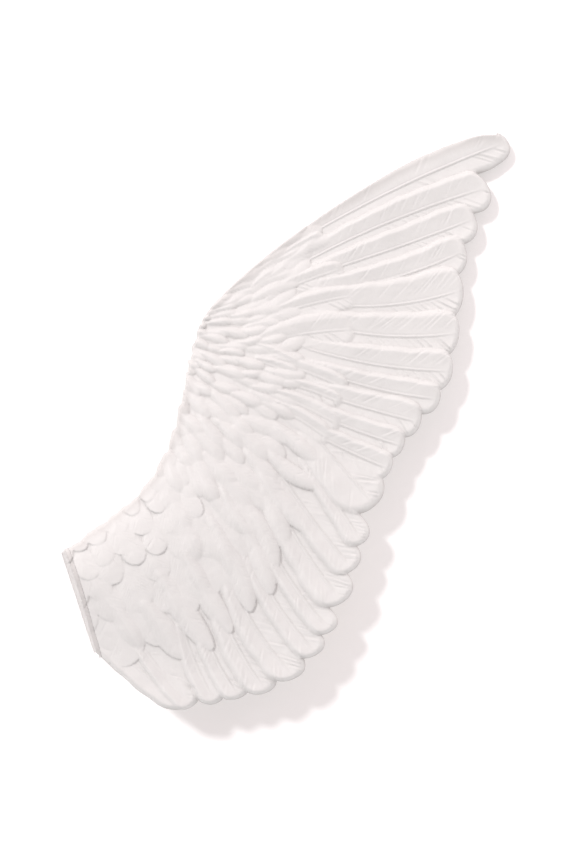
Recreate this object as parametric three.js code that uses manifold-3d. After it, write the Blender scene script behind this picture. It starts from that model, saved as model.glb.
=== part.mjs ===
// A white moulded wing that hangs on a wall: a feathered front shell and a back shell, closed at the
// cut end by a flat root plate, stiffened inside by wooden ribs and an aluminium spar, and hung by a
// pair of hooked rails that hold it off the wall and let it lift away.
//
// Millimetres. The wall is the plane y = 0, the wing stands off it towards -Y, and +Z is up. The
// origin is the centre of the wall cleat's back face.

import * as THREE from 'three';
import { mergeVertices } from 'three/addons/utils/BufferGeometryUtils.js';
import Module from 'manifold-3d';

const wasm = await Module();
wasm.setup();

// ---- Driving dimensions ----

const wingWidth = 765;
const wingHeight = 980;
const standOffTop = 12; // wall to the shells' seam at the highest tip
const standOffBottom = 87; // wall to the seam at the lowest tip

const rootThickness = 62; // front shell over the arm at the cut end
const tipThickness = 14; // front shell at the wing tip
const rimAtRoot = 40; // side wall of the leading edge at the cut end
const rimAtTip = 9;
const edgeAtRoot = 26; // side wall of the lower corner at the cut end
const featherEdge = 11; // side wall of the feather tips
const crestAt = 0.22; // where the arm is thickest, from the leading edge (0) to the tips (1)

const notchDepth = 15; // between two long feathers
const crown = 3.5; // how much each long feather is rounded
const tierStep = 3; // lip of each row of covering feathers

const frontWall = 4;
const backWall = 3;
const backDepth = 8; // seam to the back of the back shell
const rimWidth = 13; // solid border left around the hollow
const rootDraft = 14; // degrees that the cut end leans back from square

const fitGap = 0.3;
const rootPlateThickness = 6;
const rootFormerThickness = 18;
const ribThickness = 9;
const ribPlaces = [0.26, 0.44, 0.68]; // along the row of feather tips, root to tip
const sparRadius = 7;
const sparBore = 5.5;
const sparReach = [0, 0.74];

const railLength = 210;
const railMetal = 2.5;
const railPlay = 0.4;
const cleatPlate = 28;
const hookHeight = 18;
const railPlate = 26;
const hangerAt = [0.475, 0.53]; // share of the width and height of the wing where it hangs
const blockDepth = 16;
const spacerHeight = 44;
const railScrewPitch = 80;
const wallHoleRadius = 2.5;
const wallHolePitch = 160;

const postRadius = 17;
const postsAt = [[0.15, 0.18], [0.5, 0.17]];
const padThickness = 5;
const padRadius = 19;

const screwRadius = 2;
const screwHeadRadius = 4;
const screwHeadDepth = 2.4;

// ---- Outline of the wing, as shares of its width (right) and height (up) ----

const leadingEdge = [
  [0, 0.261], [0.085, 0.31], [0.174, 0.366], [0.234, 0.441], [0.268, 0.531], [0.288, 0.61], [0.319, 0.674],
  [0.397, 0.74], [0.531, 0.826], [0.665, 0.897], [0.799, 0.958], [0.933, 0.997], [0.978, 1],
];
const tipLine = [
  [0.08, 0.077], [0.125, 0.055], [0.196, 0.028], [0.286, 0], [0.393, 0.012], [0.504, 0.037], [0.589, 0.111],
  [0.658, 0.251], [0.712, 0.371], [0.777, 0.465], [0.862, 0.552], [0.895, 0.674], [0.911, 0.81],
  [0.955, 0.897], [1, 0.986],
];
// Widths of the feathers along the tips, root to wing tip: two broad inner ones, then secondaries and
// primaries. Only their proportions count, because they share out the length of the tip line.
const featherWidths = [
  78, 78, 38, 38, 41, 50, 56, 46, 41, 61, 51, 41, 88, 43, 44, 53, 46, 59, 70, 77, 56, 56, 57, 50,
];
// Which part of the leading edge the feathers at each part of the tip line grow from.
const growsFrom = [
  [0, 0], [0.115, 0.115], [0.242, 0.232], [0.345, 0.316], [0.5, 0.38], [0.593, 0.43], [0.713, 0.49],
  [0.81, 0.57], [0.9, 0.72], [0.94, 0.835], [1, 1],
];

// ---- Solids ----

function toSolid(geometry) {
  const bare = geometry.clone();
  bare.deleteAttribute('normal');
  bare.deleteAttribute('uv');
  const merged = mergeVertices(bare);
  const mesh = new wasm.Mesh({
    numProp: 3,
    vertProperties: new Float32Array(merged.attributes.position.array),
    triVerts: new Uint32Array(merged.index.array),
  });
  return new wasm.Manifold(mesh);
}

function toGeometry(solid) {
  const mesh = solid.getMesh();
  const geometry = new THREE.BufferGeometry();
  geometry.setAttribute('position', new THREE.BufferAttribute(mesh.vertProperties, 3));
  geometry.setIndex(new THREE.BufferAttribute(mesh.triVerts, 1));
  geometry.computeVertexNormals();
  return geometry;
}

function box(sizeX, sizeY, sizeZ, x, y, z) {
  return new THREE.BoxGeometry(sizeX, sizeY, sizeZ).translate(x, y, z);
}

// A rod along Y, from back (greater y) to front.
function rod(radius, back, front, x, z, sides = 24) {
  return new THREE.CylinderGeometry(radius, radius, back - front, sides).translate(x, (back + front) / 2, z);
}

// A countersunk screw along Y with its head at the back; grow makes the hole that clears it.
function screw(length, x, back, z, grow = 0) {
  const profile = [
    new THREE.Vector2(0, -length - grow),
    new THREE.Vector2(screwRadius + grow, -length - grow),
    new THREE.Vector2(screwRadius + grow, -screwHeadDepth - grow),
    new THREE.Vector2(screwHeadRadius + grow, 0),
    new THREE.Vector2(screwHeadRadius + grow, grow > 0 ? length : 0.4),
    new THREE.Vector2(0, grow > 0 ? length : 0.4),
  ];
  return new THREE.LatheGeometry(profile, 12).translate(x, back, z);
}

// A bar of one section along X. The section's points are [y, z].
function bar(section, length) {
  const shape = new THREE.Shape(section.map(([y, z]) => new THREE.Vector2(y, z)));
  const turn = new THREE.Matrix4().makeBasis(
    new THREE.Vector3(0, 1, 0),
    new THREE.Vector3(0, 0, 1),
    new THREE.Vector3(1, 0, 0),
  );
  const extruded = new THREE.ExtrudeGeometry(shape, { depth: length, bevelEnabled: false });
  return extruded.translate(0, 0, -length / 2).applyMatrix4(turn);
}

// ---- The wing's own plane: x right and z up, from the point it hangs by ----

function plan([right, up]) {
  return new THREE.Vector3((right - hangerAt[0]) * wingWidth, 0, (up - hangerAt[1]) * wingHeight);
}

const leading = new THREE.CatmullRomCurve3(leadingEdge.map(plan), false, 'centripetal');
const tips = new THREE.CatmullRomCurve3(tipLine.map(plan), false, 'centripetal');

function leadingShare(along) {
  const next = Math.max(1, growsFrom.findIndex(([share]) => share >= along));
  const [tipA, leadA] = growsFrom[next - 1];
  const [tipB, leadB] = growsFrom[next];
  return THREE.MathUtils.mapLinear(along, tipA, tipB, leadA, leadB);
}

// along runs from the root (0) to the wing tip (1), across from the leading edge (0) to the tips (1).
function wingPoint(along, across) {
  return leading.getPointAt(leadingShare(along)).lerp(tips.getPointAt(along), across);
}

// How far the smooth front of the wing stands in front of the seam, without its feathers.
function bodyHeight(along, across) {
  const crest = THREE.MathUtils.lerp(rootThickness, tipThickness, along ** 1.6);
  const rim = THREE.MathUtils.lerp(rimAtRoot, rimAtTip, Math.sqrt(along));
  const edge = Math.max(featherEdge, edgeAtRoot - (edgeAtRoot - featherEdge) * along * 7);
  if (across < crestAt) {
    const rise = 1 - across / crestAt;
    return THREE.MathUtils.lerp(rim, crest, Math.sqrt(1 - rise * rise));
  }
  const fall = ((across - crestAt) / (1 - crestAt)) ** 0.9;
  return THREE.MathUtils.lerp(edge, crest, 0.5 + 0.5 * Math.cos(Math.PI * fall));
}

// ---- Feathers: stations along the tips, three to each feather ----

const widthTotal = featherWidths.reduce((sum, width) => sum + width, 0);
const stations = [];
let filled = 0;
for (const width of featherWidths) {
  for (const part of [0, 0.3, 0.7]) {
    stations.push({ along: (filled + part * width) / widthTotal, part });
  }
  filled += width;
}
stations.push({ along: 1, part: 0.5 });

const frontRows = [0, 0.03, 0.1, 0.27, 0.29, 0.44, 0.46, 0.62, 0.64, 0.85, 1];
const backRows = [0, 0.06, 0.35, 0.7, 1];
const tierEnds = [0.27, 0.44, 0.62];

function feathering(along, across, part) {
  const tier = tierEnds.find((end) => across <= end);
  if (tier === undefined) {
    return crown * Math.sin(Math.PI * part);
  }
  const start = tierEnds[tierEnds.indexOf(tier) - 1] ?? 0;
  return (tierStep * (across - start)) / (tier - start);
}

// One column of points per station, and one more beyond the root so that the cut end can be planed.
function wingColumns(rows) {
  const columns = stations.map(({ along, part }) => {
    const lead = wingPoint(along, 0);
    const tip = wingPoint(along, 1);
    const rounding = 1 - Math.sqrt(1 - (2 * part - 1) ** 2);
    const notch = along > 0 ? notchDepth * Math.min(1, 6 * along) * rounding : 0;
    const end = tip.clone().add(lead.clone().sub(tip).setLength(notch));
    return rows.map((across) => ({ point: lead.clone().lerp(end, across), along, across, part }));
  });
  const beyond = columns[0].map((cell) => ({
    ...cell,
    point: cell.point.clone().addScaledVector(rootOutward(), 60),
  }));
  return [beyond, ...columns];
}

// A closed skin over a grid of columns, from frontAt to backAt (both are y values).
function slab(columns, frontAt, backAt) {
  const rowCount = columns[0].length;
  const count = columns.length * rowCount;
  const positions = [];
  for (const depthAt of [frontAt, backAt]) {
    for (const column of columns) {
      for (const cell of column) {
        positions.push(cell.point.x, depthAt(cell), cell.point.z);
      }
    }
  }
  const index = [];
  const quad = (a, b, c, d) => index.push(a, b, c, a, c, d);
  const at = (column, row) => column * rowCount + row;
  for (let column = 0; column < columns.length - 1; column += 1) {
    for (let row = 0; row < rowCount - 1; row += 1) {
      const [a, b] = [at(column, row), at(column + 1, row)];
      quad(a, a + 1, b + 1, b);
      quad(count + a, count + b, count + b + 1, count + a + 1);
    }
    const [leadA, leadB] = [at(column, 0), at(column + 1, 0)];
    quad(leadA, leadB, count + leadB, count + leadA);
    const [tipA, tipB] = [at(column, rowCount - 1), at(column + 1, rowCount - 1)];
    quad(tipA, count + tipA, count + tipB, tipB);
  }
  for (let row = 0; row < rowCount - 1; row += 1) {
    const first = at(0, row);
    quad(first, count + first, count + first + 1, first + 1);
    const last = at(columns.length - 1, row);
    quad(last, last + 1, count + last + 1, count + last);
  }
  const geometry = new THREE.BufferGeometry();
  geometry.setAttribute('position', new THREE.Float32BufferAttribute(positions, 3));
  geometry.setIndex(index);
  return toSolid(geometry);
}

// ---- The cut end ----

function rootOutward() {
  const down = wingPoint(0, 1).sub(wingPoint(0, 0)).normalize();
  return new THREE.Vector3(down.z, 0, -down.x);
}

// Everything between two depths behind the face of the cut end, which leans back by its draft.
function rootSlice(from, to) {
  const top = wingPoint(0, 0);
  const down = wingPoint(0, 1).sub(top).normalize();
  const lean = THREE.MathUtils.degToRad(rootDraft);
  const outward = rootOutward().multiplyScalar(Math.cos(lean)).add(new THREE.Vector3(0, -Math.sin(lean), 0));
  const third = new THREE.Vector3().crossVectors(outward, down);
  const reach = wingWidth + wingHeight;
  const slice = box(to - from, reach, reach, -(from + to) / 2, 0, 0);
  slice.applyMatrix4(new THREE.Matrix4().makeBasis(outward, down, third).setPosition(top));
  return toSolid(slice);
}

// ---- How the wing leans off the wall ----

const lean = Math.atan((standOffBottom - standOffTop) / wingHeight);
const standOff = THREE.MathUtils.lerp(standOffBottom, standOffTop, hangerAt[1]);
const wing = new THREE.Group();
wing.rotation.x = -lean;
wing.position.y = -standOff;
wing.updateMatrix();
const toWing = wing.matrix.clone().invert();

// A piece that is made square to the wall, carried over to the leaning wing.
function level(geometry) {
  return geometry.applyMatrix4(toWing);
}

// ---- Skins and hollow ----

const frontColumns = wingColumns(frontRows);
const backColumns = wingColumns(backRows);
const backSurface = ({ across }) => backDepth * (0.55 + 0.45 * Math.sin(Math.PI * across ** 0.7));
const frontSurface = ({ along, across, part }) =>
  -bodyHeight(along, across) - feathering(along, across, part);
const seam = () => 0;

// The hollow: the wing's columns drawn in from the rim, the notches and the tip, and open at the root.
function hollowColumns(gap) {
  const rows = [0, 0.07, 0.25, 0.5, 0.75, 1];
  const steps = 24;
  const columns = [];
  for (let step = 0; step <= steps; step += 1) {
    const along = (0.93 * step) / steps;
    const lead = wingPoint(along, 0);
    const tip = wingPoint(along, 1);
    const chord = lead.distanceTo(tip);
    const first = (rimWidth + gap) / chord;
    const last = 1 - (rimWidth + notchDepth + gap) / chord;
    columns.push(rows.map((row) => {
      const across = THREE.MathUtils.lerp(first, last, row);
      return { point: lead.clone().lerp(tip, across), along, across, part: 0 };
    }));
  }
  const beyond = columns[0].map((cell) => ({
    ...cell,
    point: cell.point.clone().addScaledVector(rootOutward(), 60),
  }));
  return [beyond, ...columns];
}

function hollow(gap, backAt) {
  const ceiling = ({ along, across }) => -bodyHeight(along, across) + frontWall + gap;
  return slab(hollowColumns(gap), ceiling, backAt);
}

const beyondRoot = rootSlice(-wingWidth, rootPlateThickness + fitGap);
const hollowBack = (cell) => backSurface(cell) - backWall;

// ---- Pieces: every function gives the solid, in the wing's own plane ----

function frontShell() {
  const skin = slab(frontColumns, frontSurface, seam);
  return skin.subtract(hollow(0, () => 1)).subtract(beyondRoot);
}

function backShell() {
  const skin = slab(backColumns, () => fitGap, backSurface);
  const dish = slab(hollowColumns(0), () => -1, hollowBack);
  const shell = skin.subtract(dish).subtract(beyondRoot);
  return backScrews(fitGap).concat(railScrews(fitGap)).reduce((body, hole) => body.subtract(hole), shell);
}

function rootPlate() {
  const whole = slab(frontColumns, frontSurface, backSurface);
  return whole.intersect(rootSlice(0, rootPlateThickness));
}

function rootFormer() {
  const start = rootPlateThickness + 2 * fitGap;
  const slice = rootSlice(start, start + rootFormerThickness);
  return hollow(2 * fitGap, seam).intersect(slice).subtract(spar(sparRadius + fitGap, false));
}

function rib(place) {
  const lead = wingPoint(place, 0);
  const tip = wingPoint(place, 1);
  const middle = lead.clone().lerp(tip, 0.5);
  const reach = lead.distanceTo(tip);
  const board = box(reach, 4 * rootThickness, ribThickness, 0, 0, 0);
  board.rotateY(Math.atan2(lead.z - tip.z, tip.x - lead.x));
  board.translate(middle.x, 0, middle.z);
  const blank = hollow(2 * fitGap, seam).intersect(toSolid(board)).subtract(spar(sparRadius + fitGap, false));
  return backScrews(fitGap).reduce((body, hole) => body.subtract(hole), blank);
}

// The spar runs along the arm close behind the front skin.
function sparPath() {
  const points = [];
  const steps = 9;
  for (let step = 0; step <= steps; step += 1) {
    const along = THREE.MathUtils.lerp(sparReach[0], sparReach[1], step / steps);
    const point = wingPoint(along, crestAt + 0.04);
    point.y = -bodyHeight(along, crestAt + 0.04) + frontWall + sparRadius + 3;
    points.push(point);
  }
  return new THREE.CatmullRomCurve3(points);
}

function spar(radius, bored) {
  const section = new THREE.Shape().absarc(0, 0, radius, 0, 2 * Math.PI);
  if (bored) {
    section.holes.push(new THREE.Path().absarc(0, 0, sparBore, 0, 2 * Math.PI, true));
  }
  const settings = { steps: 16, extrudePath: sparPath(), curveSegments: 6 };
  return toSolid(new THREE.ExtrudeGeometry(section, settings)).subtract(beyondRoot);
}

// ---- Hanging gear, made square to the wall ----

const channel = railMetal + 2 * railPlay;
const cleatTop = cleatPlate / 2;
const cleatFront = -(channel + railMetal);
const railBack = cleatFront - railPlay;
const railFront = railBack - railMetal;
const webAt = cleatTop + hookHeight + 2;
const railScrewAt = webAt + railMetal + railPlate / 2;
const spacerAt = railScrewAt - 6;

function wallCleat() {
  const section = [
    [-railMetal, -cleatTop], [0, -cleatTop], [0, cleatTop], [-channel, cleatTop],
    [-channel, cleatTop + hookHeight], [cleatFront, cleatTop + hookHeight],
    [cleatFront, cleatTop - railMetal], [-railMetal, cleatTop - railMetal],
  ];
  let cleat = toSolid(bar(section, railLength));
  for (const side of [-1, 1]) {
    cleat = cleat.subtract(toSolid(rod(wallHoleRadius, 5, -5, (side * wallHolePitch) / 2, -2)));
  }
  return cleat;
}

function hangerRail() {
  const hookBack = -railPlay;
  const hookFront = hookBack - railMetal;
  const section = [
    [hookFront, cleatTop + fitGap], [hookBack, cleatTop + fitGap], [hookBack, webAt + railMetal],
    [railBack, webAt + railMetal], [railBack, webAt + railMetal + railPlate],
    [railFront, webAt + railMetal + railPlate], [railFront, webAt], [hookFront, webAt],
  ];
  const rail = toSolid(level(bar(section, railLength)));
  return railScrews(fitGap).reduce((body, hole) => body.subtract(hole), rail);
}

function railScrews(grow) {
  return [-1, 0, 1].map((side) => {
    const length = standOff - railBack + 6;
    return toSolid(level(screw(length + railBack, side * railScrewPitch, railBack, railScrewAt, grow)));
  });
}

// The back surface, held off by the fit gap, that the wooden spacers and posts are cut to.
const backClearance = slab(backColumns, () => -2 * rootThickness, (cell) => backSurface(cell) + fitGap);

function hangerSpacer() {
  const front = -standOff - 4;
  const back = railFront - fitGap;
  const block = box(railLength, back - front, spacerHeight, 0, (back + front) / 2, spacerAt);
  const spacer = toSolid(level(block)).subtract(backClearance);
  return railScrews(fitGap).reduce((body, hole) => body.subtract(hole), spacer);
}

function hangerBlock() {
  const block = box(railLength, blockDepth, spacerHeight, 0, -blockDepth / 2, 0);
  block.translate(0, 0, spacerAt / Math.cos(lean));
  const clear = toSolid(block).subtract(spar(sparRadius + fitGap, false));
  return railScrews(fitGap).reduce((body, hole) => body.subtract(hole), clear);
}

function postCentre(place) {
  const spot = plan(place);
  return [spot.x, spot.z];
}

function standOffPost(place) {
  const [x, z] = postCentre(place);
  const front = -standOff - (standOffBottom - standOff);
  const post = toSolid(level(rod(postRadius, -padThickness - fitGap, front, x, z))).subtract(backClearance);
  return post.subtract(postScrew(place, fitGap));
}

function standOffPad(place) {
  const [x, z] = postCentre(place);
  return toSolid(level(rod(padRadius, 0, -padThickness, x, z))).subtract(postScrew(place, fitGap));
}

function postScrew(place, grow) {
  const [x, z] = postCentre(place);
  return toSolid(level(screw(32, x, -1.5, z, grow)));
}

function backScrews(grow) {
  return ribPlaces.flatMap((place) => [0.14, 0.4, 0.64].map((across) => {
    const spot = wingPoint(place, across);
    const back = backSurface({ across });
    return toSolid(screw(back + 12, spot.x, back, spot.z, grow));
  }));
}

// ---- Finishes ----

const finish = (color, roughness, metalness = 0) => ({ color, roughness, metalness });
const castWhite = finish(0xf2ecea, 0.55);
const castBack = finish(0xe9e3e0, 0.65);
const paleWood = finish(0xc9a877, 0.7);
const bareAluminium = finish(0xb9bcc0, 0.35, 1);
const zincSteel = finish(0xa9adb0, 0.4, 1);
const greyRubber = finish(0x4a4a4c, 0.85);

function piece(name, solid, look) {
  const mesh = new THREE.Mesh(toGeometry(solid), new THREE.MeshStandardMaterial(look));
  mesh.name = name;
  return mesh;
}

// ---- Assembly ----

wing.add(piece('front_shell', frontShell(), castWhite));
wing.add(piece('back_shell', backShell(), castBack));
wing.add(piece('root_plate', rootPlate(), castWhite));
wing.add(piece('root_former', rootFormer(), paleWood));
ribPlaces.forEach((place, number) => {
  wing.add(piece(`rib_${number + 1}`, rib(place), paleWood));
});
wing.add(piece('spar_tube', spar(sparRadius, true), bareAluminium));
wing.add(piece('hanger_block', hangerBlock(), paleWood));
wing.add(piece('hanger_spacer', hangerSpacer(), paleWood));
wing.add(piece('hanger_rail', hangerRail(), bareAluminium));
railScrews(0).forEach((solid, number) => {
  wing.add(piece(`rail_screw_${number + 1}`, solid, zincSteel));
});
backScrews(0).forEach((solid, number) => {
  wing.add(piece(`back_screw_${number + 1}`, solid, zincSteel));
});
postsAt.forEach((place, number) => {
  wing.add(piece(`standoff_post_${number + 1}`, standOffPost(place), paleWood));
  wing.add(piece(`standoff_pad_${number + 1}`, standOffPad(place), greyRubber));
  wing.add(piece(`standoff_screw_${number + 1}`, postScrew(place, 0), zincSteel));
});

const wallWing = new THREE.Group();
wallWing.add(piece('wall_cleat', wallCleat(), bareAluminium));
wallWing.add(wing);

export default wallWing;
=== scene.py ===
# %% [markdown]
# # A moulded wall wing
# The CAD model holds the wing's size, its hanging gear and its joint. This lesson gives it the skin
# that people see: a white casting in high relief. It starts by loading the CAD model as a fixed
# frame and keeping its box, so that the finished wing can be compared with it.
# %% Load the frame
import math

import bpy
import numpy as np
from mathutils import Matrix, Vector
from mathutils.geometry import delaunay_2d_cdt


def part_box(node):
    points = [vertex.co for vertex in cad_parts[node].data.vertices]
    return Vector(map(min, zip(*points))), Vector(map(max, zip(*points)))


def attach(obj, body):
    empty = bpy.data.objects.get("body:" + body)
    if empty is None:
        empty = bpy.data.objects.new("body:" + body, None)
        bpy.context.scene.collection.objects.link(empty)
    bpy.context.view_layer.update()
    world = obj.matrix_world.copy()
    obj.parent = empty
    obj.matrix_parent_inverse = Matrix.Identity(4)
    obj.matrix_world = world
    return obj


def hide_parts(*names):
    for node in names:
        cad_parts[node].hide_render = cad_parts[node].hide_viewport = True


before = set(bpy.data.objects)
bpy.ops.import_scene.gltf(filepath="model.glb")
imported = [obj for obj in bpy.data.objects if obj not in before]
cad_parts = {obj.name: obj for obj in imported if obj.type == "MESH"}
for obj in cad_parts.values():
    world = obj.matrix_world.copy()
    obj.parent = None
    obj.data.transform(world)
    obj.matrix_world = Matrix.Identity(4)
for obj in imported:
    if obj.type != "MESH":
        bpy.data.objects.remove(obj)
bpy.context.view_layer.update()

MM = 0.001
shell_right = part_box("front_shell")[1][0]

# %% [markdown]
# ## The wing's own plane
# The wing leans: its tip is close to the wall and its lower feathers stand well off it. All the
# modelling happens in the wing's own flat plane, where x runs right, z runs up and height is how far
# a point stands in front of the seam between the two shells. One function carries a finished point
# into the room. The width, height and lean repeat the driving sizes of the CAD.
# %% Sizes and placing
WING_WIDTH = 765 * MM
WING_HEIGHT = 980 * MM
OFF_WALL_TOP = 12 * MM
OFF_WALL_BOTTOM = 87 * MM
HANGS_AT = (0.475, 0.53)
ROOT_DRAFT = math.radians(14)
LEAN = math.atan((OFF_WALL_BOTTOM - OFF_WALL_TOP) / WING_HEIGHT)
OFF_WALL = OFF_WALL_BOTTOM + (OFF_WALL_TOP - OFF_WALL_BOTTOM) * HANGS_AT[1]


def in_room(x, height, z):
    """Points of the wing's plane, with their heights in front of it, as points in the room."""
    y = -height * math.cos(LEAN) + z * math.sin(LEAN) - OFF_WALL
    up = z * math.cos(LEAN) + height * math.sin(LEAN)
    return np.stack([x, y, up], axis=-1)


def on_plane(shares):
    """Shares of the width and height of the wing, as metres in its plane."""
    shares = np.asarray(shares, float)
    return (shares - HANGS_AT) * (WING_WIDTH, WING_HEIGHT)


print("right edge: design", round(float(on_plane([1, 1])[0]), 4), "frame", round(shell_right, 4))

# %% [markdown]
# ## Outlines
# Two smooth curves carry the whole plan: the leading edge, and the line that the feather tips reach.
# A centripetal Catmull-Rom spline passes through a few chosen points without overshooting, and it is
# the same curve as in the CAD. Each curve is measured along its length, so that feathers can be
# spaced evenly on it.
# %% Curves


def smooth_curve(points, per_span=60):
    """A centripetal Catmull-Rom curve through the points, as (length so far, points)."""
    points = np.asarray(points, float)
    padded = np.vstack([2 * points[0] - points[1], points, 2 * points[-1] - points[-2]])
    curve = []
    for a, b, c, d in zip(padded, padded[1:], padded[2:], padded[3:]):
        k1 = np.linalg.norm(b - a) ** 0.5
        k2 = k1 + np.linalg.norm(c - b) ** 0.5
        k3 = k2 + np.linalg.norm(d - c) ** 0.5
        t = np.linspace(k1, k2, per_span, endpoint=False)[:, None]
        ab = a * (k1 - t) / k1 + b * t / k1
        bc = b * (k2 - t) / (k2 - k1) + c * (t - k1) / (k2 - k1)
        cd = c * (k3 - t) / (k3 - k2) + d * (t - k2) / (k3 - k2)
        abc = ab * (k2 - t) / k2 + bc * t / k2
        bcd = bc * (k3 - t) / (k3 - k1) + cd * (t - k1) / (k3 - k1)
        curve.append(abc * (k2 - t) / (k2 - k1) + bcd * (t - k1) / (k2 - k1))
    curve = np.vstack(curve + [points[-1:]])
    steps = np.linalg.norm(np.diff(curve, axis=0), axis=1)
    return np.concatenate([[0], np.cumsum(steps)]), curve


def along_curve(curve, share):
    """The point at a share of the curve's length."""
    length, points = curve
    at = np.asarray(share) * length[-1]
    return np.stack([np.interp(at, length, points[:, axis]) for axis in (0, 1)], axis=-1)


LEADING_EDGE = [
    (0, 0.261), (0.085, 0.31), (0.174, 0.366), (0.234, 0.441), (0.268, 0.531), (0.288, 0.61),
    (0.319, 0.674), (0.397, 0.74), (0.531, 0.826), (0.665, 0.897), (0.799, 0.958), (0.933, 0.997),
    (0.978, 1),
]
TIP_LINE = [
    (0.08, 0.077), (0.125, 0.055), (0.196, 0.028), (0.286, 0), (0.393, 0.012), (0.504, 0.037),
    (0.589, 0.111), (0.658, 0.251), (0.712, 0.371), (0.777, 0.465), (0.862, 0.552), (0.895, 0.674),
    (0.911, 0.81), (0.955, 0.897), (1, 0.986),
]
GROWS_FROM = [
    (0, 0), (0.115, 0.115), (0.242, 0.232), (0.345, 0.316), (0.5, 0.38), (0.593, 0.43),
    (0.713, 0.49), (0.81, 0.57), (0.9, 0.72), (0.94, 0.835), (1, 1),
]
leading_edge = smooth_curve(on_plane(LEADING_EDGE))
tip_line = smooth_curve(on_plane(TIP_LINE))
print("tip line", round(tip_line[0][-1], 3), "m, leading edge", round(leading_edge[0][-1], 3), "m")

# %% [markdown]
# ## A height field
# A casting from an open mould has no undercuts, so its front can be a height field: one height for
# each point of a fine grid. That makes hundreds of overlapping feathers easy, because the highest
# one wins at each point, and it keeps the soft creases of a real mould. The grid is filled from the
# sections of the wing, which run from the leading edge (0) across to the tips (1).
# %% Grid and wing sections
CELL = 1.5 * MM
MARGIN = 12 * MM
grid_low = on_plane([0, 0]) - MARGIN
grid_count = np.ceil((on_plane([1, 1]) + MARGIN - grid_low) / CELL).astype(int) + 1
grid_x = grid_low[0] + CELL * np.arange(grid_count[0])
grid_z = grid_low[1] + CELL * np.arange(grid_count[1])
X, Z = np.meshgrid(grid_x, grid_z, indexing="ij")

root_top = on_plane(LEADING_EDGE[0])
root_down = on_plane(TIP_LINE[0]) - root_top
root_down = root_down / np.linalg.norm(root_down)
ROOT_IN = np.array([-root_down[1], root_down[0]])


def section_points(along, across):
    """Points of the wing at shares along its length and across its width."""
    inside = np.clip(along, 0, 1)
    lead = along_curve(leading_edge, np.interp(inside, *np.transpose(GROWS_FROM)))
    tip = along_curve(tip_line, inside)
    beyond = np.minimum(along, 0)[..., None] * 0.9 * ROOT_IN
    return lead + (tip - lead) * across[..., None] + beyond, np.linalg.norm(tip - lead, axis=-1)


def beside(field):
    """The sum of the four neighbours of every cell, with nothing beyond the grid."""
    padded = np.pad(field, 1)
    return padded[2:, 1:-1] + padded[:-2, 1:-1] + padded[1:-1, 2:] + padded[1:-1, :-2]


def spread(places, values):
    """Averages scattered values on the grid, then fills the cells that none of them reached."""
    column = np.rint((places[..., 0] - grid_low[0]) / CELL).astype(int).ravel()
    row = np.rint((places[..., 1] - grid_low[1]) / CELL).astype(int).ravel()
    ok = (column >= 0) & (column < grid_count[0]) & (row >= 0) & (row < grid_count[1])
    flat = column[ok] * grid_count[1] + row[ok]
    size = grid_count[0] * grid_count[1]
    weight = np.bincount(flat, minlength=size).reshape(grid_count).astype(float)
    total = np.bincount(flat, values.ravel()[ok], minlength=size).reshape(grid_count)
    for _ in range(14):
        empty = weight == 0
        if not empty.any():
            break
        near_total = beside(total)
        near_weight = beside(weight)
        total[empty] = near_total[empty]
        weight[empty] = near_weight[empty]
    return total / np.maximum(weight, 1)


def blurred(field, radius):
    """A field averaged over a few cells, twice each way, which is close to a Gaussian."""
    cells = max(1, int(round(radius / CELL)))
    kernel = np.ones(2 * cells + 1) / (2 * cells + 1)
    for _ in range(2):
        for axis in (0, 1):
            pad = [(cells, cells) if a == axis else (0, 0) for a in (0, 1)]
            padded = np.pad(field, pad, mode="edge")
            summed = np.cumsum(np.insert(padded, 0, 0, axis=axis), axis=axis)
            width = field.shape[axis]
            high = np.take(summed, np.arange(2 * cells + 1, 2 * cells + 1 + width), axis=axis)
            low = np.take(summed, np.arange(width), axis=axis)
            field = (high - low) / len(kernel)
    return field


scatter = 1
along_s, across_s = np.meshgrid(
    np.linspace(-0.03, 1.0, 1500 // scatter), np.linspace(-0.08, 1.06, 520 // scatter), indexing="ij"
)
places, chords = section_points(along_s, across_s)
ALONG = spread(places, along_s)
ACROSS = spread(places, across_s)
CHORD = spread(places, chords)
print("grid", tuple(grid_count), "cells of", round(CELL / MM, 2), "mm")

# %% [markdown]
# ## The smooth body
# Under the feathers the wing is a swelling form: thick over the arm at the cut end, thin at the
# feather tips. The same formula as in the CAD gives its height at every grid point. Every feather is
# laid on top of this body, so the finished skin keeps the CAD's thickness.
# %% Body height
ROOT_THICKNESS = 62 * MM
TIP_THICKNESS = 14 * MM
RIM_AT_ROOT = 40 * MM
RIM_AT_TIP = 9 * MM
EDGE_AT_ROOT = 26 * MM
FEATHER_EDGE = 11 * MM
CREST_AT = 0.22


def body_height(along, across):
    """The smooth front above the seam, as in the CAD but fuller at the leading edge."""
    along = np.clip(along, 0, 1)
    across = np.clip(across, 0, 1)
    crest = ROOT_THICKNESS + (TIP_THICKNESS - ROOT_THICKNESS) * along**1.6
    rim = RIM_AT_ROOT + (RIM_AT_TIP - RIM_AT_ROOT) * np.sqrt(along)
    edge = np.maximum(FEATHER_EDGE, EDGE_AT_ROOT - (EDGE_AT_ROOT - FEATHER_EDGE) * along * 7)
    rim = rim + (crest + 2 * MM - rim) * np.interp(along, [0, 0.5, 0.7], [0.35, 0.6, 1.0])
    rise = np.clip(1 - across / CREST_AT, 0, 1)
    before = rim + (crest - rim) * np.sqrt(1 - rise**2)
    fall = (np.clip((across - CREST_AT) / (1 - CREST_AT), 0, 1)) ** 0.9
    after = edge + (crest - edge) * (0.5 + 0.5 * np.cos(np.pi * fall))
    return np.where(across < CREST_AT, before, after)


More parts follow.
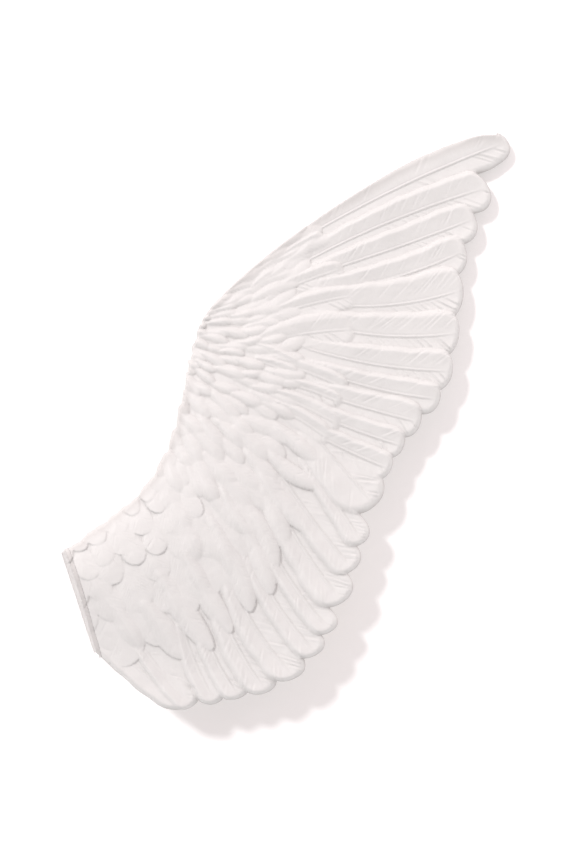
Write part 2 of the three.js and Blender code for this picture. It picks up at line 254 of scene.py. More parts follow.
BODY = blurred(body_height(ALONG, ACROSS), 3 * MM)
LEAD_DISTANCE = ACROSS * CHORD
print("body from", round(BODY.min() / MM, 1), "to", round(BODY.max() / MM, 1), "mm")

# %% [markdown]
# ## One moulded feather
# A carved feather has a raised roll on one side of its shaft and a lower, combed vane on the other.
# The shaft is a thin ridge between two grooves. Each feather is worked out only in the small window
# of the grid that it covers. It rises from its root to its tip, so that its tip lies over the root
# of the next one, like a roof tile. A soft maximum joins it to what is already there and leaves the
# rounded crease that a mould gives.
# %% The field that the feathers are laid on
GROUND = 1.5 * MM
height = BODY - GROUND
cover = np.full_like(BODY, -1.0)
noise_source = np.random.default_rng(7)
vary = noise_source.uniform


def soft_max(a, b, fillet):
    """The greater of two heights, with a rounded crease where they meet."""
    blend = np.maximum(fillet - np.abs(a - b), 0) / fillet
    return np.maximum(a, b) + blend**2 * fillet / 4


print("ground lies", GROUND / MM, "mm under the smooth body")

# %% [markdown]
# ## The feather tool
# One function lays any long feather. It measures each grid point along and across the shaft, and
# adds up the roll, the dip of the vane, the barbs, the shaft and the rounded rim.
# %% Feather tool
ROOT_SINKS = 7
ROOT_SHARE = 0.16
BARB_SLANT = 1.15
CAP_POWER = 2.3
ROLL_GROWS_IN = 0.38


def window_of(a, b, reach):
    """The part of the grid around two places, and its points measured from the first."""
    low = np.minimum(a, b) - reach
    high = np.maximum(a, b) + reach
    first = np.clip(((low - grid_low) / CELL).astype(int), 0, grid_count - 1)
    last = np.clip(((high - grid_low) / CELL).astype(int) + 2, 1, grid_count)
    window = (slice(first[0], last[0]), slice(first[1], last[1]))
    return window, X[window] - a[0], Z[window] - a[1]


def bell(offset, width):
    """A smooth bump: 1 in its middle and almost 0 two widths away."""
    return np.exp(-((offset / width) ** 2))


def combed(barb_at, length, out, cuts, deepest):
    """The combed look of a vane: fine barbs and a few deeper splits between them."""
    wobble = vary(0, 6.28, 3)
    fine = np.sin(barb_at / (0.8 * MM) + 2.2 * np.sin(barb_at / (7 * MM) + wobble[0]))
    patchy = 0.5 + 0.5 * np.sin(barb_at / (15 * MM) + wobble[1])
    relief = 0.24 * MM * fine * patchy
    for _ in range(cuts):
        at = vary(0.08, 1.0) * length
        deep = vary(0.3, 1.0) * deepest
        wide = vary(1.3, 2.8) * MM
        drift = vary(-0.25, 0.25) * out
        notch = bell(barb_at + drift - at, wide)
        lip = bell(barb_at + drift - at - 1.7 * wide, 1.3 * wide)
        relief = relief - deep * notch + 0.45 * deep * lip
    return relief


def feather_plan(s, d, length, roll, vane, taper, full_at, cap):
    """How far inside the outline each point is, its share across, and its share along the cap."""
    wave = vary(0, 6.28, 2)
    slow = np.sin(s * length / (11 * MM) + wave[0])
    slower = np.sin(s * length / (26 * MM) + wave[1])
    ragged = 1 + 0.04 * slow * slower
    widen = taper + (1 - taper) * np.sin(0.5 * np.pi * np.clip(np.clip(s, 0, 1) / full_at, 0, 1))
    half = np.where(d >= 0, roll, vane) * MM * widen * ragged
    u = d / half
    cap_length = cap * 0.5 * (roll + vane) * MM
    q = np.clip((s * length - (length - cap_length)) / cap_length, 0, None)
    radius = (q**CAP_POWER + np.abs(u) ** CAP_POWER) ** (1 / CAP_POWER)
    return np.minimum((1 - radius) * half, (s + 0.02) * length), u, q


def roll_and_vane(s, u, q, length, dome, crest, fall, sink, skirt):
    """The raised roll on one side of the shaft, and the dip beside it on the other."""
    on_roll = np.clip(u, 0, 1)
    on_vane = np.clip(-u, 0, 1)
    to_crest = np.clip(on_roll / crest, 0, 1)
    past_crest = np.clip((on_roll - crest) / max(1 - crest, 0.01), 0, 1)
    swell = to_crest**1.15 * (1 - fall * past_crest**2) * (1 - 0.3 * q.clip(0, 1) ** 2)
    wobble = vary(0, 6.28, 2)
    lumps = np.sin(s * length / (9 * MM) + wobble[0]) * np.sin(s * length / (23 * MM) + wobble[1])
    grown = np.clip(s / ROLL_GROWS_IN, 0.15, 1) if skirt else 1
    dip = 1 - (1 - np.clip(on_vane / 0.3, 0, 1)) ** 2
    raised = swell * (dome + 0.45 * lumps) * MM * grown
    return raised - sink * MM * dip * (1 - 0.5 * q.clip(0, 1))


def shaft_ridge(s, d, shaft):
    """The thin ridge of the shaft between its two grooves, fading out just before the tip."""
    thin = 1 - 0.45 * np.clip(s, 0, 1)
    groove_roll = bell(d - 2.6 * MM, 1.2 * MM)
    groove_vane = bell(d + 2.9 * MM, 1.4 * MM)
    fade = np.clip((0.97 - s) / 0.1, 0, 1)
    return shaft * MM * thin * (bell(d, 1.35 * MM) - 0.6 * groove_roll - 1.1 * groove_vane) * fade


def feather(
    root, tip, roll, vane, side=1, bow=0.0, rise=(0.0, 4.0), dome=3.5, crest=0.7, fall=0.2,
    sink=1.2, shaft=0.9, cuts=6, deepest=1.2, cap=1.1, edge=4.0, skirt=False, taper=0.75,
    full_at=1.0,
):
    """Lays one feather. Places are shares. Its half widths, roll and vane, and heights are in mm."""
    global height, cover
    a, b = on_plane(root), on_plane(tip)
    length = np.linalg.norm(b - a)
    axis = (b - a) / length
    window, x, z = window_of(a, b, max(roll, vane) * MM + abs(bow) * length + 4 * MM)
    s = (x * axis[0] + z * axis[1]) / length
    off = z * axis[0] - x * axis[1] - 4 * bow * length * s * (1 - s)
    d = side * off
    inside, u, q = feather_plan(s, d, length, roll, vane, taper, full_at, cap)
    relief = roll_and_vane(s, u, q, length, dome, crest, fall, sink, skirt)

    barb_at = s * length - np.abs(off) * BARB_SLANT
    on_the_roll = 0.25 * np.clip(np.clip(u, 0, 1) * 4 - 0.6, 0, 1)
    open_vane = np.clip(np.clip(-u, 0, 1) * 5 - 0.3, 0, 1) + on_the_roll
    relief = relief + combed(barb_at, length, np.abs(off), cuts, deepest * MM) * open_vane
    relief = relief + shaft_ridge(s, d, shaft)

    near_rim = 1 - np.clip(inside / (1.8 * edge * MM), 0, 1)
    sunk = ROOT_SINKS * np.clip(1 - s / ROOT_SHARE, 0, 1) ** 2
    lift = (rise[0] + (rise[1] - rise[0]) * np.clip(s, 0, 1) - sunk) * MM
    laid = BODY[window] + lift + relief - edge * MM * near_rim**2
    joined = soft_max(height[window], laid, 0.9 * MM)
    height[window] = np.where(inside > 0, joined, height[window])
    if skirt:
        cover[window] = np.maximum(cover[window], inside)


print("barbs slant back", BARB_SLANT, "mm for each mm away from the shaft")

# %% [markdown]
# ## Flight feathers
# The long feathers fan out from the hand and the arm. Their tips share out the tip line in
# proportion to their widths, so the scalloped edge is the same as the CAD's, and each springs from
# its own quill. On the outer ones, the primaries, the raised roll is on the upper side. On the inner
# ones, the secondaries, it is on the lower side, and the roll lies over the vane of the next one.
# %% Lay the flight feathers
FEATHER_WIDTHS = [
    78, 78, 38, 38, 41, 50, 56, 46, 41, 61, 51, 41, 88, 43, 44, 53, 46, 59, 70, 77, 56, 56, 57, 50,
]
# Quill places from the wing tip inwards, each with its sideways bow.
QUILLS = [
    (0.487, 0.788, 0.026), (0.493, 0.749, 0.03), (0.498, 0.732, -0.01), (0.502, 0.718, -0.06),
    (0.509, 0.706, -0.07), (0.509, 0.674, -0.06), (0.509, 0.627, -0.04), (0.504, 0.598, -0.035),
    (0.5, 0.557, -0.01), (0.498, 0.528, -0.02), (0.498, 0.497, -0.02), (0.531, 0.497, 0.0),
    (0.525, 0.453, 0.0), (0.464, 0.43, -0.02), (0.446, 0.401, -0.03), (0.42, 0.357, -0.05),
    (0.397, 0.305, -0.05), (0.364, 0.279, -0.08), (0.33, 0.244, -0.06), (0.297, 0.2, -0.06),
    (0.263, 0.174, -0.05), (0.147, 0.152, -0.04),
]
PRIMARIES = 11
WORN_SECONDARIES = 2
edges_along = np.concatenate([[0], np.cumsum(FEATHER_WIDTHS)]) / sum(FEATHER_WIDTHS)
tip_shares = 0.5 * (edges_along[1:] + edges_along[:-1])[::-1]
WING_TIP = (1.006, 0.99)


def as_shares(point):
    return point / (WING_WIDTH, WING_HEIGHT) + HANGS_AT


def lay_flights():
    for number, (right, up, bow) in enumerate(QUILLS):
        tip = as_shares(along_curve(tip_line, tip_shares[number])) if number else WING_TIP
        width = FEATHER_WIDTHS[::-1][number] * tip_line[0][-1] / sum(FEATHER_WIDTHS) / MM
        if number == 0:
            profile = dict(roll=33, side=1, crest=1.0, fall=0.0, dome=6.0, taper=0.9)
        elif number < PRIMARIES:
            profile = dict(roll=0.64 * width, side=1, crest=0.72, fall=0.35, dome=6.6, taper=0.5)
        else:
            profile = dict(roll=0.64 * width, side=-1, crest=0.55, fall=0.6, dome=5.8, taper=0.6)
        worn = number >= len(QUILLS) - WORN_SECONDARIES
        feather(
            (right, up), tip, vane=0.6 * width, bow=bow, rise=(-1.0, 2.0),
            sink=1.4 if worn else 2.2, shaft=0.7 if worn else 1.5, cuts=6 if worn else 20,
            deepest=2.5, cap=1.6 if number in (0, PRIMARIES) else 1.0, edge=5.5, skirt=True,
            **profile,
        )


lay_flights()
feather(
    (0.04, 0.176), (0.29, 0.003), roll=30, vane=30, side=-1, bow=-0.055, rise=(0, 2), dome=2,
    sink=1, cuts=3, deepest=0.6, cap=1.4, edge=6, skirt=True, taper=0.9,
)
print("flight feathers", len(QUILLS) + 1)

# %% [markdown]
# ## Coverts over the hand
# Shorter feathers cover the quills in overlapping rows. The ones over the hand are long, lie close
# to the primaries' direction and keep the roll and vane of a flight feather, so the feather tool
# lays them too. Each has a place and width of its own, so each is listed one by one.
# %% Lay the hand's coverts
# root, tip, half width of the roll, half width of the vane
HAND_COVERTS = [
    ((0.40, 0.715), (0.589, 0.817), 20, 18), ((0.42, 0.69), (0.63, 0.76), 22, 20),
    ((0.42, 0.66), (0.661, 0.713), 24, 26), ((0.42, 0.622), (0.656, 0.653), 36, 30),
    ((0.397, 0.627), (0.531, 0.582), 18, 16), ((0.42, 0.598), (0.527, 0.568), 17, 16),
    ((0.453, 0.598), (0.636, 0.547), 22, 20), ((0.464, 0.563), (0.625, 0.523), 18, 16),
    ((0.446, 0.545), (0.621, 0.483), 22, 24), ((0.446, 0.528), (0.598, 0.458), 22, 20),
]


def lay_hand_coverts():
    for root, tip, roll, vane in HAND_COVERTS:
        feather(
            root, tip, roll, vane, bow=0.03, rise=(-0.5, 3.4), dome=4.6, crest=0.55, fall=0.6,
            sink=1.0, shaft=1.0, cuts=10, deepest=1.6, cap=1.4, edge=5.0, taper=0.45, full_at=0.65,
        )


lay_hand_coverts()
print("hand coverts", len(HAND_COVERTS))

# %% [markdown]
# ## A soft covert
# Over the arm and wrist the feathers are too small for a roll and a vane. Each is a soft pillow with
# a fine shaft and slanting barbs, narrow at its hidden root and blunt at its tip. It rises from root
# to tip as a roof tile does. Its outline is one formula, so a few numbers make every size of it.
# %% Covert tool
BARB_SPACING = 6.3 * MM
BARB_RELIEF = 0.28 * MM
WIDEST_AT = 0.62
PILLOW_POWER = 0.7
COVERT_BARB_SLANT = 1.1
COVERT_CUTS = 7


def petal(root, direction, length, half, dome, rise, blunt=2.4, narrow=0.6, combing=0.55):
    """Lays one small covert: a soft pillow that rises from its root to its blunt tip."""
    global height
    axis = np.array([math.cos(direction), math.sin(direction)])
    window, x, z = window_of(root, root + axis * length, half + 3 * MM)
    s = (x * axis[0] + z * axis[1]) / length
    bend = vary(-0.08, 0.08) * length
    off = z * axis[0] - x * axis[1] - 4 * bend * s * (1 - s)
    v = np.clip((s - WIDEST_AT) / (1 - WIDEST_AT), 0, None)
    side = off / (half * (narrow + (1 - narrow) * np.clip(s / WIDEST_AT, 0, 1)))
    radius = (v**blunt + np.abs(side) ** blunt) ** (1 / blunt)
    pillow = np.clip(1 - radius**2, 0, 1) ** PILLOW_POWER
    barb_at = s * length - np.abs(off) * COVERT_BARB_SLANT
    barbs = combed(barb_at, length, np.abs(off), COVERT_CUTS, combing * MM)
    barbs = barbs + BARB_RELIEF * np.sin(barb_at * 2 * math.pi / BARB_SPACING)
    barbs = barbs * np.clip(np.abs(side) * 3 - 0.3, 0, 1)
    shaft_line = 0.35 * MM * bell(off, 1.3 * MM) * np.clip((0.85 - s) * 6, 0, 1)
    lift = rise[0] + (rise[1] - rise[0]) * np.clip(s, 0, 1)
    rooted = 0.35 + 0.65 * np.clip(s / 0.3, 0, 1)
    laid = BODY[window] + lift + dome * pillow * rooted + (barbs + shaft_line) * pillow
    joined = soft_max(height[window], laid, 0.8 * MM)
    height[window] = np.where((radius < 1) & (s > 0), joined, height[window])


print("covert barbs every", round(BARB_SPACING / MM, 1), "mm")

# %% [markdown]
# ## The bed and the arm's long coverts
# First the ground under all the small feathers is raised, so that no deep crack opens between them.
# Then the longest coverts of the arm are laid over the roots of the secondaries. They are leaf
# shapes, each with its own place, and their free tips make the darkest creases on the wing.
# %% Lay the arm's coverts
# Along the wing: direction in degrees, length, width and depth of the bed in mm.
BED_ALONG = [0.0, 0.15, 0.3, 0.42, 0.5, 0.58, 0.66, 0.72, 0.8]
BED_DIRECTION = [-76, -68, -52, -42, -24, -8, 10, 28, 34]
BED_LENGTH = [86, 90, 96, 88, 70, 62, 68, 90, 104]
BED_WIDTH = [56, 52, 34, 29, 22, 19, 20, 23, 24]
BED_DEPTH = [180, 198, 200, 198, 186, 170, 130, 90, 45]
BED_ENDS = 0.84
BED_LIFT = 2.08 * MM
ARM_HALF = 0.43
ARM_DOME = 7.5 * MM
ARM_RISE = (-4.0 * MM, 2.2 * MM)
# root, tip, width in mm
ARM_COVERTS = [
    ((0.446, 0.5), (0.576, 0.418), 34), ((0.438, 0.462), (0.574, 0.375), 36),
    ((0.44, 0.43), (0.545, 0.30), 38), ((0.42, 0.409), (0.503, 0.268), 42),
    ((0.379, 0.375), (0.48, 0.235), 42), ((0.379, 0.34), (0.469, 0.192), 44),
    ((0.319, 0.325), (0.424, 0.162), 46), ((0.275, 0.285), (0.379, 0.126), 46),
    ((0.225, 0.25), (0.337, 0.096), 48), ((0.152, 0.215), (0.272, 0.082), 52),
    ((0.10, 0.20), (0.18, 0.10), 46), ((0.42, 0.45), (0.509, 0.326), 36),
    ((0.348, 0.40), (0.43, 0.287), 34), ((0.31, 0.35), (0.39, 0.215), 38),
    ((0.25, 0.31), (0.335, 0.18), 40), ((0.20, 0.26), (0.28, 0.14), 42),
]


def raise_bed():
    """Lifts the ground under the small coverts, so that no deep crack is left between them."""
    global height
    deeper = np.interp(ALONG, [0.0, 0.35, 0.5], [60, 60, 15]) * MM
    depth = np.interp(ALONG, BED_ALONG, BED_DEPTH) * MM + deeper - LEAD_DISTANCE
    ramp = np.clip(depth / (30 * MM), 0, 1) * np.clip((BED_ENDS - ALONG) / 0.08, 0, 1)
    height = np.where(depth > 0, np.maximum(height, BODY - 2 * MM + BED_LIFT * ramp), height)


def lay_arm_coverts():
    for root, tip, width in ARM_COVERTS:
        a, b = on_plane(root), on_plane(tip)
        turn = math.atan2(b[1] - a[1], b[0] - a[0])
        petal(
            a, turn, np.linalg.norm(b - a), ARM_HALF * width * MM, ARM_DOME, ARM_RISE,
            blunt=2.0, narrow=0.5, combing=0.9,
        )


raise_bed()
lay_arm_coverts()
print("arm coverts", len(ARM_COVERTS))

# %% [markdown]
# ## Scales in rows
# The smallest feathers lie in staggered rows that follow the leading edge: broad scales on the
# shoulder, long ovals on the arm and narrow ones packed around the wrist. A rule lays them, from the
# innermost row outwards, and reads their direction and size from the place along the wing. A little
# seeded variation keeps them from looking stamped.
# %% Lay the small coverts
BEDDING_STEPS = 300


def lay_bed(rows, along_from, along_to, dome, lift, step, blunt, narrow, stray):
    """Lays staggered rows of small coverts, the innermost row first."""
    count = 0
    for row in range(rows):
        share = 1 - row / (rows - 1)
        walk = np.linspace(along_from, along_to, BEDDING_STEPS)
        depth = np.interp(walk, BED_ALONG, BED_DEPTH) * MM * share - 4 * MM
        chord = section_points(walk, np.zeros_like(walk))[1]
        line = section_points(walk, depth / chord)[0]
        gone = np.concatenate([[0], np.cumsum(np.linalg.norm(np.diff(line, axis=0), axis=1))])
        at = vary(-10, 10) * MM
        while at < gone[-1]:
            along = float(np.interp(at, gone, walk))
            spot = np.array([np.interp(at, gone, line[:, 0]), np.interp(at, gone, line[:, 1])])
            grow = (0.72 + 0.5 * share) * vary(0.85, 1.2)
            length = np.interp(along, BED_ALONG, BED_LENGTH) * MM * grow
            half = 0.5 * np.interp(along, BED_ALONG, BED_WIDTH) * MM * grow
            turn = math.radians(np.interp(along, BED_ALONG, BED_DIRECTION))
            turn = turn + vary(-stray, stray)
            back = vary(0.4, 0.65) * length
            root = spot - back * np.array([math.cos(turn), math.sin(turn)])
            top = lift * MM + (1 - share) * MM + vary(-0.6, 0.6) * MM
            plump = dome * MM * vary(0.75, 1.2)
            petal(root, turn, length, half, plump, (top - step * MM, top), blunt, narrow)
            at += 1.85 * half * vary(0.85, 1.15)
            count += 1
    return count


shoulder_scales = lay_bed(
    rows=6, along_from=0.0, along_to=0.25, dome=2.4, lift=2.6, step=5.0, blunt=2.1, narrow=0.6,
    stray=0.3,
)
arm_and_wrist = lay_bed(
    rows=6, along_from=0.2, along_to=BED_ENDS, dome=6.6, lift=0.2, step=5.0, blunt=2.2,
    narrow=0.45, stray=0.2,
)
print("shoulder scales", shoulder_scales)
print("arm and wrist coverts", arm_and_wrist)

# %% [markdown]
# ## Silhouette and cut end
# The outline is where the cover field falls to zero: the union of the long feathers and the body,
# trimmed by the leading edge, which waves a little as a moulded edge does. The cut end is a plane
# that leans back, so its place depends on the height at which it is met.
# %% Outline
DEEPEST_NOTCH = 28 * MM
SCALLOP = 1.5 * MM
SMOOTH_LEAD_FROM = 0.62


def as_distance(level):
    """Scales a level field so that near its zero line it is close to a distance."""
    slope_x, slope_z = np.gradient(blurred(level, 4 * MM), CELL)
    return level / np.clip(np.hypot(slope_x, slope_z), 0.25, 4)


scallops = SCALLOP * (np.sin(ALONG * 210) * np.sin(ALONG * 67 + 1) + np.sin(ALONG * 121) - 1)
scallops = scallops * np.clip((SMOOTH_LEAD_FROM - ALONG) * 12, 0, 1)
lead_level = as_distance(LEAD_DISTANCE) + scallops
body_level = as_distance((1 - ACROSS) * CHORD) - DEEPEST_NOTCH
body_tip_side = np.maximum(cover, body_level)
cover = np.minimum(body_tip_side, lead_level)
root_in = (X - root_top[0]) * ROOT_IN[0] + (Z - root_top[1]) * ROOT_IN[1]
print("outline covers", round(float((cover > 0).sum() * CELL**2), 3), "square metres")

# %% [markdown]
# ## Rims and hand work
# Near its outline a casting rolls over, more at the feather tips than along the leading edge. Slow
# lumps and a fine grain keep the surface from looking turned out by a machine. The front is then
# split where the root plate meets the shell, with a fine gap for the seam.
# %% Finished front
RIM_ROLL = 10 * MM
LOWEST_RIM = 2.5 * MM
ROOT_PLATE = 6 * MM
SEAM_GAP = 0.3 * MM
LUMP_HEIGHT = 0.45 * MM
GRAIN_HEIGHT = 0.1 * MM


def rolled_rim(field, level, radius):
    """Lowers a height field in a quarter circle towards its outline."""
    near = 1 - np.clip(level / radius, 0, 1)
    return np.maximum(field - radius * (1 - np.sqrt(1 - near**2)), LOWEST_RIM)


lead_share = np.clip((body_tip_side - lead_level) / (6 * MM), 0, 1)
lead_radius = np.interp(ALONG, [0.0, 0.45, 0.68, 0.8], [7, 6, 5, 2]) * MM
rim_radius = lead_radius + (RIM_ROLL - lead_radius) * (1 - lead_share)
lumps = blurred(noise_source.normal(size=X.shape), 14 * MM)
grain = blurred(noise_source.normal(size=X.shape), 3 * MM)
height = height + LUMP_HEIGHT * lumps / lumps.std() + GRAIN_HEIGHT * grain / grain.std()
front = rolled_rim(height, cover, rim_radius)
behind_root = (root_in - front * math.tan(ROOT_DRAFT)) * math.cos(ROOT_DRAFT)
shell_level = np.minimum(cover, behind_root - ROOT_PLATE - SEAM_GAP)
plate_level = np.minimum(np.minimum(cover, behind_root), ROOT_PLATE - behind_root)
print("front stands", round(front[cover > 0].max() / MM, 1), "mm off the seam")

# %% [markdown]
# ## Where the white is painted darker
# Shade is painted into the white where the lighting leaves it darker: the creases, the rim, a band
# along the leading edge and the cut end. The amounts are a guess. Each place gives a share between 0
# and 1, the greatest is kept for every point, and the skins carry it as an attribute their finish reads.
# %% Painted shade
RIM_LINE = 3.5 * MM
LEAD_BAND = 18 * MM
CREASE_DEPTH = 1.4 * MM
CREASE_SHARE = 0.44

# Painted shade in the creases: the deeper a hollow lies below its surroundings, the darker.
hollow = blurred(height, 3 * MM) - height - 0.25 * MM
in_crease = CREASE_SHARE * np.clip(hollow / CREASE_DEPTH, 0, 1)
# Painted shade in a thin line along the outline.
at_rim = np.clip(1 - cover / RIM_LINE, 0, 1)
# Painted shade in a band along the leading edge, stronger towards the root and the tip.
lead_shade = np.interp(ALONG, [0.35, 0.5, 0.62, 0.75], [0.8, 0.25, 0.25, 0.6])
by_lead = np.clip((LEAD_BAND - np.abs(lead_level)) / (0.6 * LEAD_BAND), 0, 1) * lead_shade
# Painted shade over the cut end, which faces away from the light.
on_plate = behind_root < ROOT_PLATE
# The painted shade share: the greatest of the four at each point.
crease = np.maximum.reduce([in_crease, at_rim, by_lead, on_plate])
print("dulled share of the front", round(float(crease[cover > 0].mean()), 3))

# %% [markdown]
# ## From a field to a solid
# Marching squares turns the field into a mesh: whole grid cells inside the outline, and cells cut
# exactly where the outline crosses them. A wall drops from the outline to the foot, and a coarse
# back closes the solid, so the piece is one closed body like the casting itself.
# %% Mesh tools
NEAREST_CUT = 0.06


def crossing_points(level, axis, first_number):
    """Points where the outline crosses the grid lines along one axis, and their numbers."""
    inside = level > 0
    step = np.eye(2, dtype=int)[axis]
    at = np.argwhere(np.diff(inside, axis=axis))
    here = level[at[:, 0], at[:, 1]]
    there = level[at[:, 0] + step[0], at[:, 1] + step[1]]
    share = np.clip(here / (here - there), NEAREST_CUT, 1 - NEAREST_CUT)
    numbers = -np.ones(level.shape, int)
    numbers[at[:, 0], at[:, 1]] = first_number + np.arange(len(at))
    return at + share[:, None] * step, numbers


def outline_mesh(level):
    """Cells of the grid inside level > 0: points as grid places, faces, and the border loops."""
    inside = level > 0
    number = -np.ones(level.shape, int)
    number[inside] = np.arange(inside.sum())
    places = [np.argwhere(inside).astype(float)]
    on_x, across_x = crossing_points(level, 0, len(places[0]))
    on_z, across_z = crossing_points(level, 1, len(places[0]) + len(on_x))
    places.extend([on_x, on_z])

    corners = [number[:-1, :-1], number[1:, :-1], number[1:, 1:], number[:-1, 1:]]
    held = sum((corner >= 0).astype(int) for corner in corners)
    full = held == 4
    faces = np.stack([corner[full] for corner in corners], axis=1).tolist()
    following = {}
    for i, j in np.argwhere((held > 0) & (held < 4)):
        ring = [
            number[i, j], across_x[i, j], number[i + 1, j], across_z[i + 1, j],
            number[i + 1, j + 1], across_x[i, j + 1], number[i, j + 1], across_z[i, j],
        ]
        ring = [int(point) for point in ring if point >= 0]
        faces.append(ring)
        for first, second in zip(ring, ring[1:] + ring[:1]):
            if first >= len(places[0]) and second >= len(places[0]):
                following[first] = second
    loops = []
    while following:
        start, point = following.popitem()
        loop = [start]
        while point != start and point in following:
            loop.append(point)
            point = following.pop(point)
        loops.append(loop)
    return np.vstack(places), faces, sorted(loops, key=len, reverse=True)


def sample(field, places):
    """Reads a grid field between its points."""
    low = np.minimum(places.astype(int), np.array(field.shape) - 2)
    part = places - low
    i, j = low[:, 0], low[:, 1]
    near = field[i, j] * (1 - part[:, 1]) + field[i, j + 1] * part[:, 1]
    far = field[i + 1, j] * (1 - part[:, 1]) + field[i + 1, j + 1] * part[:, 1]
    return near * (1 - part[:, 0]) + far * part[:, 0]


print("mesh tools read fields of", grid_x.size, "by", grid_z.size, "points")

# %% [markdown]
# ## Closing a piece
# A casting has walls and a hidden inner side as well as the side that shows. Rings of points below
# the outline make the wall. The inner side needs no detail, so it is a wide grid of points joined
# into triangles. The same function closes all three skins.
# %% Walls and inner side
WALL_STEPS = 3
CORE_SPACING = 9 * MM
CORE_INSET = 7 * MM


def foot_ring(rim, foot, on_cut):
    """The rim's points brought down to the foot: straight, or leaning with the cut end."""
    lean_out = np.where(on_cut, (rim[:, 1] - foot) * math.tan(ROOT_DRAFT), 0)
    return np.stack([
        rim[:, 0] - lean_out * ROOT_IN[0],
        np.full(len(rim), foot),
        rim[:, 2] - lean_out * ROOT_IN[1],
    ], axis=1)


def wall_down(loop, first_new):
    """Numbers for rings of new points below the loop, and the wall's faces between them."""
    rings = [list(loop)]
    for step in range(WALL_STEPS):
        start = first_new + step * len(loop)
        rings.append(list(range(start, start + len(loop))))
    wall = []
    for upper, lower in zip(rings, rings[1:]):
        for k in range(len(loop)):
            n = (k + 1) % len(loop)
            wall.append([upper[k], lower[k], lower[n], upper[n]])
    return rings[-1], wall


def inner_side(level, inner, ring, ring_numbers, first_new):
    """The hidden side: points on a wide grid inside the foot ring, and triangles over both."""
    step = max(1, int(CORE_SPACING / CELL))
    coarse = np.meshgrid(*[np.arange(0, size, step) for size in level.shape], indexing="ij")
    gi, gj = [numbers.ravel() for numbers in coarse]
    deep = level[gi, gj] > CORE_INSET
    gi, gj = gi[deep], gj[deep]
    core_height = np.array([inner(i, j) for i, j in zip(gi, gj)], float)
    core = np.stack([grid_low[0] + CELL * gi, core_height, grid_low[1] + CELL * gj], axis=1)
    flat = [Vector(point) for point in np.vstack([ring, core])[:, [0, 2]].tolist()]
    ring_edges = [(k, (k + 1) % len(ring)) for k in range(len(ring))]
    found, _, triangles, origins, _, _ = delaunay_2d_cdt(flat, ring_edges, [], 1, 1e-7)
    numbers = []
    crossings = []
    for point, origin in zip(found, origins):
        if origin and origin[0] < len(ring):
            numbers.append(ring_numbers[origin[0]])
        elif origin:
            numbers.append(first_new + origin[0] - len(ring))
        else:
            numbers.append(first_new + len(core) + len(crossings))
            crossings.append((point.x, ring[0][1], point.y))
    faces = [[numbers[k] for k in reversed(triangle)] for triangle in triangles]
    return np.vstack([core, np.reshape(crossings, (-1, 3))]), faces


def closed_piece(name, level, top, foot, inner, facing=1):
    """A closed piece: top over the outline, a wall to the foot and a coarse inner side."""
    places, faces, loops = outline_mesh(level)
    loop = loops[0]
    x = grid_low[0] + CELL * places[:, 0]
    z = grid_low[1] + CELL * places[:, 1]
    surface = np.stack([x, facing * sample(top, places), z], axis=1)
    on_cut = sample(np.where(cover > level + 0.5 * MM, 1.0, 0.0), places[loop]) > 0.5
    rim = surface[loop]
    ring = foot_ring(rim, foot, on_cut)
    ring_numbers, wall = wall_down(loop, len(surface))
    wall_points = [rim + (ring - rim) * step / WALL_STEPS for step in range(1, WALL_STEPS + 1)]
    first_new = len(surface) + WALL_STEPS * len(loop)
    core, back_faces = inner_side(level, inner, ring, ring_numbers, first_new)
    points = np.vstack([surface] + wall_points + [core])
    all_faces = faces + wall + back_faces
    if facing < 0:
        all_faces = [list(reversed(face)) for face in all_faces]
    mesh = bpy.data.meshes.new(name)
    mesh.from_pydata(in_room(*points.T).tolist(), [], all_faces)
    # The front's pieces carry the painted shade share as a point attribute.
    if facing > 0:
        shaded = np.zeros(len(points), np.float32)
        shaded[:len(surface)] = sample(crease, places)
        shaded[len(surface):first_new] = np.tile(shaded[loop], WALL_STEPS)
        mesh.attributes.new("crease", "FLOAT", "POINT").data.foreach_set("value", shaded)
    piece = bpy.data.objects.new(name, mesh)
    bpy.context.scene.collection.objects.link(piece)
    mesh.shade_smooth()
    print(name, len(points), "points", len(all_faces), "faces")
    return piece


print("walls have", WALL_STEPS, "steps")

# %% [markdown]
# ## The three skins
# The front shell is hollow behind, with a rim left around it. The root plate is a slice of the same
# form, so it continues the front's surface across a fine seam. The back shell is a shallow skin.
# It is almost smooth, with slight dips where the feathers of the front print through, but it stays
# flat under the screws, the posts and the spacer that rest on it.
# %% Build the skins
FRONT_WALL = 4 * MM
RIM_WIDTH = 20 * MM
BACK_DEPTH = 8 * MM
BACK_WALL = 3 * MM
BACK_RIM = 3 * MM
PLATE_FOOT = -6 * MM
PRINT_SHARE = 0.3
DEEPEST_PRINT = 1.4 * MM
HOLLOW_DEPTH = 0.25 * MM
CLEAR_OF_FIXING = 7 * MM


def front_inner(i, j):
    if cover[i, j] < RIM_WIDTH:
        return 0.0
    return max(BODY[i, j] - FRONT_WALL, 0.0)


def back_inner(i, j):
    if cover[i, j] < RIM_WIDTH:
        return -SEAM_GAP
    return -max(back[i, j] - BACK_WALL, SEAM_GAP)


def away_from(names, clear):
    """0 where a fixing touches the back, rising to 1 a little way off it."""
    mask = np.ones(X.shape)
    for name in names:
        low, high = [Vector(corner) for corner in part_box(name)]
        middle = (low + high) / 2
        half = (high - low) / 2
        middle_z = (middle.y + OFF_WALL) * math.sin(LEAN) + middle.z * math.cos(LEAN)
        gap_x = np.clip(np.abs(X - middle.x) - half.x, 0, None)
        gap_z = np.clip(np.abs(Z - middle_z) - half.z, 0, None)
        mask = np.minimum(mask, np.clip(np.hypot(gap_x, gap_z) / clear - 1, 0, 1))
    return mask


